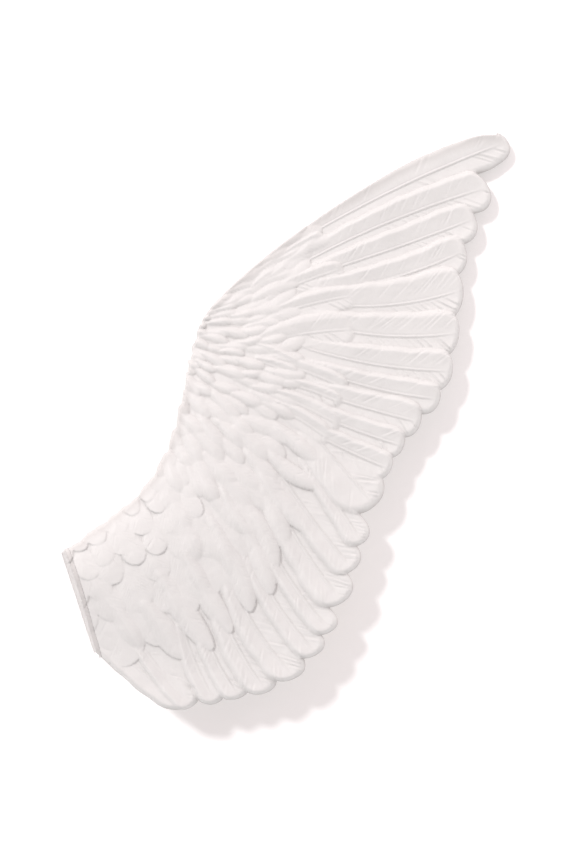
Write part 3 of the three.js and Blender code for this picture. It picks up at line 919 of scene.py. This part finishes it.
BACK_SCREWS = [f"back_screw_{number}" for number in range(1, 10)]
ON_THE_BACK = BACK_SCREWS + ["hanger_spacer", "standoff_post_1", "standoff_post_2"]
back = BACK_DEPTH * (0.55 + 0.45 * np.sin(np.pi * np.clip(ACROSS, 0, 1) ** 0.7))
print_through = np.clip(PRINT_SHARE * (blurred(height, 9 * MM) - height), 0, DEEPEST_PRINT)
hollows = HOLLOW_DEPTH * np.clip(-lumps / lumps.std(), 0, 2)
dips = blurred(print_through + hollows, 2 * MM)
back = rolled_rim(back - dips * away_from(ON_THE_BACK, CLEAR_OF_FIXING), cover, BACK_RIM)
back_behind_root = (root_in + back * math.tan(ROOT_DRAFT)) * math.cos(ROOT_DRAFT)
back_level = np.minimum(cover, back_behind_root - ROOT_PLATE - SEAM_GAP)
front_skin = closed_piece("front_skin", shell_level, front, 0.0, front_inner)
plate_skin = closed_piece("root_end_plate", plate_level, front, PLATE_FOOT, lambda i, j: PLATE_FOOT)
back_skin = closed_piece("back_skin", back_level, back, -SEAM_GAP, back_inner, facing=-1)
for skin, node in ((front_skin, "front_shell"), (plate_skin, "root_plate"), (back_skin, "back_shell")):
    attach(skin, "wing")
    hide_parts(node)

# %% [markdown]
# ## Effects that the finishes share
# Everything here is procedural. Mottling is the soft unevenness and the fine pits of a cast, moulded
# or plated surface. Streaks are the long fine lines of drawn metal and planed wood. Each is a node
# group, built once and placed in every finish with that finish's own sizes. Two small helpers add a
# node and fill its inputs, so that the code reads as a list of what feeds what.
# %% Shared effects


def connect(node, inputs):
    """Gives each input of a node its value, or a link where it is given another node's socket."""
    for label, value in inputs.items():
        socket = node.inputs[label]
        if isinstance(value, bpy.types.NodeSocket):
            node.id_data.links.new(value, socket)
        elif socket.type == "RGBA":
            socket.default_value = (*value, 1)
        else:
            socket.default_value = value
    return node


def add_node(tree, kind, inputs, **settings):
    """Adds a shader node with its settings and inputs, and returns its outputs."""
    node = tree.nodes.new("ShaderNode" + kind)
    for label, value in settings.items():
        setattr(node, label, value)
    return connect(node, inputs).outputs


def new_group(name, inputs, outputs):
    group = bpy.data.node_groups.new(name, "ShaderNodeTree")
    for label, kind, value in inputs:
        socket = group.interface.new_socket(label, in_out="INPUT", socket_type=kind)
        socket.default_value = value
    for label in outputs:
        group.interface.new_socket(label, in_out="OUTPUT", socket_type="NodeSocketFloat")
    return group, group.nodes.new("NodeGroupInput").outputs, group.nodes.new("NodeGroupOutput")


def mottling_group():
    """Soft patches and fine pits, each a noise with its own scale."""
    scales = [("Patch Scale", "NodeSocketFloat", 14.0), ("Pit Scale", "NodeSocketFloat", 260.0)]
    group, given, end = new_group("mottling", scales, ["Patches", "Pits"])
    place = add_node(group, "TexCoord", {})["Object"]
    for scale, output in (("Patch Scale", "Patches"), ("Pit Scale", "Pits")):
        noise = add_node(group, "TexNoise", {"Vector": place, "Scale": given[scale], "Detail": 4})
        connect(end, {output: noise["Fac"]})
    return group


def streaks_group():
    """Lines that run along x once the piece is turned about y, or along y where so stretched."""
    inputs = [
        ("Turn", "NodeSocketFloat", 0.0), ("Stretch", "NodeSocketVector", (0.04, 1.0, 1.0)),
        ("Line Scale", "NodeSocketFloat", 400.0), ("Band Scale", "NodeSocketFloat", 60.0),
    ]
    group, given, end = new_group("streaks", inputs, ["Lines", "Bands"])
    turning = {"Vector": add_node(group, "TexCoord", {})["Object"], "Angle": given["Turn"]}
    turned = add_node(group, "VectorRotate", turning, rotation_type="Y_AXIS")
    stretching = {0: turned["Vector"], 1: given["Stretch"]}
    place = add_node(group, "VectorMath", stretching, operation="MULTIPLY")["Vector"]
    for scale, output, distortion in (("Line Scale", "Lines", 0.2), ("Band Scale", "Bands", 0.8)):
        waves = {"Vector": place, "Scale": given[scale], "Detail": 5, "Distortion": distortion}
        connect(end, {output: add_node(group, "TexNoise", waves)["Fac"]})
    return group


MOTTLING = mottling_group()
STREAKS = streaks_group()
print("shared effects:", MOTTLING.name, STREAKS.name)

# %% [markdown]
# ## Finishes
# The casting is mottled white, with shade painted into its creases and at its edges. Its back is
# rougher and greyer. One function builds every finish from a shared effect: one mask of it mixes two
# colours, one sets the roughness and one raises a fine relief.
# %% Finish tools
MID_TONES = (0.3, 0.7)


def scaled(tree, mask, low, high, to_low=0.0, to_high=1.0):
    """A mask stretched so that low and high become two chosen values."""
    ends = {"Value": mask, "From Min": low, "From Max": high, "To Min": to_low, "To Max": to_high}
    return add_node(tree, "MapRange", ends)["Result"]


def mix_colors(tree, share, first, second, blend="MIX"):
    """A colour that goes from the first to the second. Either is a colour or a socket."""
    ends = {0: share, 6: first, 7: second}
    return add_node(tree, "Mix", ends, data_type="RGBA", blend_type=blend)[2]


def new_material(name, metallic=0.0, specular=0.5):
    material = bpy.data.materials.new(name)
    material.use_nodes = True
    shader = material.node_tree.nodes["Principled BSDF"]
    connect(shader, {"Metallic": metallic, "Specular IOR Level": specular})
    return material, material.node_tree, shader


def textured(name, effect, sizes, colors, rough, relief, tones=MID_TONES, **mirror):
    """A material that reads a shared effect. Colours, roughness and relief each start with a mask."""
    material, tree, shader = new_material(name, **mirror)
    masks = add_node(tree, "Group", sizes, node_tree=effect)
    mask, first, second = colors
    color = mix_colors(tree, scaled(tree, masks[mask], *tones), first, second)
    mask, smoothest, roughest = rough
    roughness = scaled(tree, masks[mask], *MID_TONES, smoothest, roughest)
    mask, depth, strength = relief
    raised = {"Strength": strength, "Distance": depth, "Height": masks[mask]}
    normal = add_node(tree, "Bump", raised)["Normal"]
    connect(shader, {"Base Color": color, "Roughness": roughness, "Normal": normal})
    return material


print("masks are read from", MID_TONES[0], "to", MID_TONES[1])

# %% [markdown]
# ## Finishes of the casting
# The real wing is a resin or plaster casting, painted or left plain, so its white is close to even
# and slightly matt. The front also reads where shade is painted into it. The back lay open in the
# mould, so it is coarser.
# %% The casting's finishes
# The tone that the painted shade multiplies into the white.
SHADE_TONE = (0.84, 0.825, 0.82)


def moulded_white():
    """The white front, multiplied by a painted shade tone as far as the crease attribute says."""
    material = textured(
        "moulded_white", MOTTLING, {"Patch Scale": 14, "Pit Scale": 260}, tones=(0, 1), specular=0.35,
        colors=("Patches", (0.70, 0.70, 0.69), (0.735, 0.735, 0.725)),
        rough=("Pits", 0.5, 0.6), relief=("Pits", 0.6 * MM, 0.25),
    )
    tree = material.node_tree
    shader = tree.nodes["Principled BSDF"]
    white = shader.inputs["Base Color"].links[0].from_socket
    shade_share = add_node(tree, "Attribute", {}, attribute_name="crease")["Fac"]
    connect(shader, {"Base Color": mix_colors(tree, shade_share, white, SHADE_TONE, "MULTIPLY")})
    return material


def moulded_back():
    """The side that lay open in the mould: matt, greyer and coarser."""
    return textured(
        "moulded_back", MOTTLING, {"Patch Scale": 9, "Pit Scale": 130}, specular=0.25,
        colors=("Patches", (0.62, 0.61, 0.59), (0.69, 0.68, 0.66)),
        rough=("Pits", 0.65, 0.85), relief=("Pits", 1.0 * MM, 0.35),
    )


cast_white = moulded_white()
front_skin.data.materials.append(cast_white)
plate_skin.data.materials.append(cast_white)
back_skin.data.materials.append(moulded_back())
print("casting:", [m.name for skin in (front_skin, back_skin) for m in skin.data.materials if m])

# %% [markdown]
# ## Finishes of the hanging gear
# Wood shows bands of early and late growth with fine pores along them. Mill finish aluminium keeps
# the long lines of its die. Zinc plate has a soft spangle, and rubber is almost even. Each is the
# same few nodes with its own sizes and colours, so each is one short function.
# %% The hanging gear's finishes


def planed_wood(name, turn=0.0, stretch=(0.06, 1, 1)):
    sizes = {"Turn": turn, "Stretch": stretch, "Line Scale": 700, "Band Scale": 110}
    return textured(
        name, STREAKS, sizes, specular=0.3,
        colors=("Bands", (0.66, 0.49, 0.30), (0.47, 0.31, 0.17)),
        rough=("Lines", 0.5, 0.72), relief=("Lines", 0.3 * MM, 0.3),
    )


def mill_aluminium(name, turn=0.0):
    sizes = {"Turn": turn, "Stretch": (0.02, 1, 1), "Line Scale": 1500, "Band Scale": 90}
    return textured(
        name, STREAKS, sizes, metallic=1.0,
        colors=("Bands", (0.76, 0.77, 0.79), (0.66, 0.67, 0.69)),
        rough=("Lines", 0.3, 0.48), relief=("Lines", 0.08 * MM, 0.25),
    )


def zinc_plate():
    return textured(
        "zinc_plate", MOTTLING, {"Patch Scale": 320, "Pit Scale": 1800}, metallic=1.0,
        colors=("Patches", (0.69, 0.70, 0.73), (0.62, 0.61, 0.57)),
        rough=("Patches", 0.26, 0.44), relief=("Pits", 0.05 * MM, 0.25),
    )


def pad_rubber():
    return textured(
        "pad_rubber", MOTTLING, {"Patch Scale": 120, "Pit Scale": 900}, specular=0.3,
        colors=("Patches", (0.085, 0.085, 0.09), (0.12, 0.12, 0.125)),
        rough=("Pits", 0.7, 0.9), relief=("Pits", 0.15 * MM, 0.3),
    )


def dress(names, material):
    for name in names:
        for held in bpy.data.objects[name].material_slots:
            held.material = material


ROOT_TURN = math.atan2(root_down[1], root_down[0])
RIB_TURNS = [math.radians(angle) for angle in (-52, -28, -4)]
SPAR_TURN = math.radians(48)
POSTS = ["standoff_post_1", "standoff_post_2"]
PADS = ["standoff_pad_1", "standoff_pad_2"]
OTHER_SCREWS = [f"rail_screw_{number}" for number in (1, 2, 3)] + ["standoff_screw_1", "standoff_screw_2"]
dress(["hanger_block", "hanger_spacer"], planed_wood("planed_wood"))
dress(["root_former"], planed_wood("planed_wood_root", ROOT_TURN))
for number, turn in enumerate(RIB_TURNS, 1):
    dress([f"rib_{number}"], planed_wood(f"planed_wood_rib_{number}", turn))
dress(POSTS, planed_wood("turned_post_wood", stretch=(1, 0.06, 1)))
dress(["wall_cleat", "hanger_rail"], mill_aluminium("mill_aluminium"))
dress(["spar_tube"], mill_aluminium("drawn_aluminium", SPAR_TURN))
dress(BACK_SCREWS + OTHER_SCREWS, zinc_plate())
dress(PADS, pad_rubber())
meshes = [piece.data for piece in bpy.data.objects if piece.type == "MESH"]
print("finishes", sorted({held.name for mesh in meshes for held in mesh.materials if held}))

# %% [markdown]
# ## The sweep
# The wing hangs on a white sweep that curves down into a pale floor. From behind it lets light and
# sight through, so the back of the wing can be looked at as well. What it bounces back at the wing
# is a glow of given strength, and is weaker close to it, because there the wing shades its own wall.
# %% Sweep
WALL_BOUNCE = 2.0
FLOOR_BOUNCE = 0.85
SHADED_UP_TO = 0.02
OPEN_FROM = 0.3
SHADED_SHARE = 0.42
BOUNCE_TINT = (1.0, 0.97, 0.97)
SWEEP_BACK = 1 * MM
SWEEP_TOP = 3.0
SWEEP_FRONT = -6.0
SWEEP_HALF = 4.0
SWEEP_BEND = 0.3
BEND_STEPS = 12
FLOOR_LEVEL = -1.2


def backdrop_material(name, bounce_strength):
    """White from the front, clear from behind; its bounce is a glow of given strength that fades close to
    the wing.
    """
    material, tree, shader = new_material(name, specular=0.0)
    connect(shader, {"Base Color": (1.0, 1.0, 1.0), "Roughness": 0.9})
    path = add_node(tree, "LightPath", {})
    close_by = SHADED_SHARE * bounce_strength
    strength = scaled(
        tree, path["Ray Length"], SHADED_UP_TO, OPEN_FROM, close_by, bounce_strength
    )
    bounce = add_node(tree, "Emission", {"Color": BOUNCE_TINT, "Strength": strength})[0]
    lit = add_node(tree, "MixShader", {0: path["Is Diffuse Ray"], 1: shader.outputs[0], 2: bounce})[0]
    either = {0: add_node(tree, "NewGeometry", {})["Backfacing"], 1: path["Is Shadow Ray"]}
    see_through = add_node(tree, "Math", either, operation="MAXIMUM")[0]
    clear = add_node(tree, "BsdfTransparent", {})[0]
    seen = add_node(tree, "MixShader", {0: see_through, 1: lit, 2: clear})[0]
    connect(tree.nodes["Material Output"], {"Surface": seen})
    return material


def make_sweep():
    profile = [(SWEEP_BACK, SWEEP_TOP), (SWEEP_BACK, FLOOR_LEVEL + SWEEP_BEND)]
    for step in range(1, BEND_STEPS + 1):
        angle = 0.5 * math.pi * step / BEND_STEPS
        y = SWEEP_BACK - SWEEP_BEND * (1 - math.cos(angle))
        profile.append((y, FLOOR_LEVEL + SWEEP_BEND * (1 - math.sin(angle))))
    profile.append((SWEEP_FRONT, FLOOR_LEVEL))
    points = [(side * SWEEP_HALF, y, z) for y, z in profile for side in (-1, 1)]
    faces = [(2 * k, 2 * k + 2, 2 * k + 3, 2 * k + 1) for k in range(len(profile) - 1)]
    mesh = bpy.data.meshes.new("sweep")
    mesh.from_pydata(points, [], faces)
    mesh.shade_smooth()
    mesh.materials.append(backdrop_material("white_wall", WALL_BOUNCE))
    mesh.materials.append(backdrop_material("pale_floor", FLOOR_BOUNCE))
    for face in mesh.polygons[1:]:
        face.material_index = 1
    sweep = bpy.data.objects.new("sweep", mesh)
    bpy.context.scene.collection.objects.link(sweep)
    print("sweep", len(faces), "faces, floor", round(-FLOOR_LEVEL, 2), "m below the hook")


make_sweep()

# %% [markdown]
# ## Lights
# A sun from the upper left picks out the feathers and throws the wing's shadow down to the right.
# A soft sky, brighter overhead, fills the creases. A small lamp on the right evens out the wall.
# %% Lights
KEY_STRENGTH = 1.4
KEY_TOWARDS = (0.7, 1.0, -0.68)
KEY_SPREAD = math.radians(7)
WASH_ENERGY = 2.0
WASH_SIZE = 0.5
WASH_PLACE = Vector((1.15, -0.75, 0.65))
WASH_TARGET = Vector((0.3, 0, 0.25))
AMBIENT = 0.69
WINDOW = (-0.2, -0.1, 0.97)
WINDOW_SHARE = 0.85
SEEN_SKY = 0.95
SKY_TINT = (1.0, 0.89, 0.89)


def hang_lamp(lamp_data, towards, place=(0, 0, 0)):
    """Puts a light at its place and turns it to shine the way given."""
    lamp = bpy.data.objects.new(lamp_data.name, lamp_data)
    lamp.location = place
    lamp.rotation_euler = Vector(towards).to_track_quat("-Z", "Y").to_euler()
    bpy.context.scene.collection.objects.link(lamp)


def light_up_world(tree):
    """A sky that is brighter overhead; the camera sees it as one even tone."""
    facing = {0: add_node(tree, "TexCoord", {})["Generated"], 1: Vector(WINDOW).normalized()}
    towards = add_node(tree, "VectorMath", facing, operation="DOT_PRODUCT")["Value"]
    darkest = AMBIENT * (1 - WINDOW_SHARE)
    brightest = AMBIENT * (1 + WINDOW_SHARE)
    glow = scaled(tree, towards, -1, 1, darkest, brightest)
    is_seen = add_node(tree, "LightPath", {})["Is Camera Ray"]
    strength = add_node(tree, "Mix", {0: is_seen, 2: glow, 3: SEEN_SKY})[0]
    connect(tree.nodes["Background"], {"Color": SKY_TINT, "Strength": strength})


key = bpy.data.lights.new("key", "SUN")
key.energy = KEY_STRENGTH
key.angle = KEY_SPREAD
hang_lamp(key, KEY_TOWARDS)
wall_wash = bpy.data.lights.new("wall_wash", "AREA")
wall_wash.energy = WASH_ENERGY
wall_wash.size = WASH_SIZE
hang_lamp(wall_wash, WASH_TARGET - WASH_PLACE, WASH_PLACE)
world = bpy.data.worlds.new("studio")
world.use_nodes = True
light_up_world(world.node_tree)
bpy.context.scene.world = world
bpy.context.scene.view_settings.view_transform = "Standard"
print("lights", [lamp.name for lamp in bpy.data.lights])

# %% [markdown]
# ## Camera
# The camera looks straight at the wall. Its lens is worked out from how far away it stands and how
# much height it should take in at the middle of the wing's thickness.
# %% Camera
CAMERA_AWAY = 3.0
VIEW_HEIGHT = 1.4736
MID_WING = -0.07
SENSOR = 36
camera_data = bpy.data.cameras.new("camera")
camera = bpy.data.objects.new("camera", camera_data)
bpy.context.scene.collection.objects.link(camera)
centre = on_plane([0.5, 0.476])
camera.location = (centre[0], -CAMERA_AWAY, centre[1])
camera.rotation_euler = (math.pi / 2, 0, 0)
camera_data.lens = SENSOR * (CAMERA_AWAY + MID_WING) / VIEW_HEIGHT
bpy.context.scene.camera = camera
print("lens", round(camera_data.lens, 1), "mm")
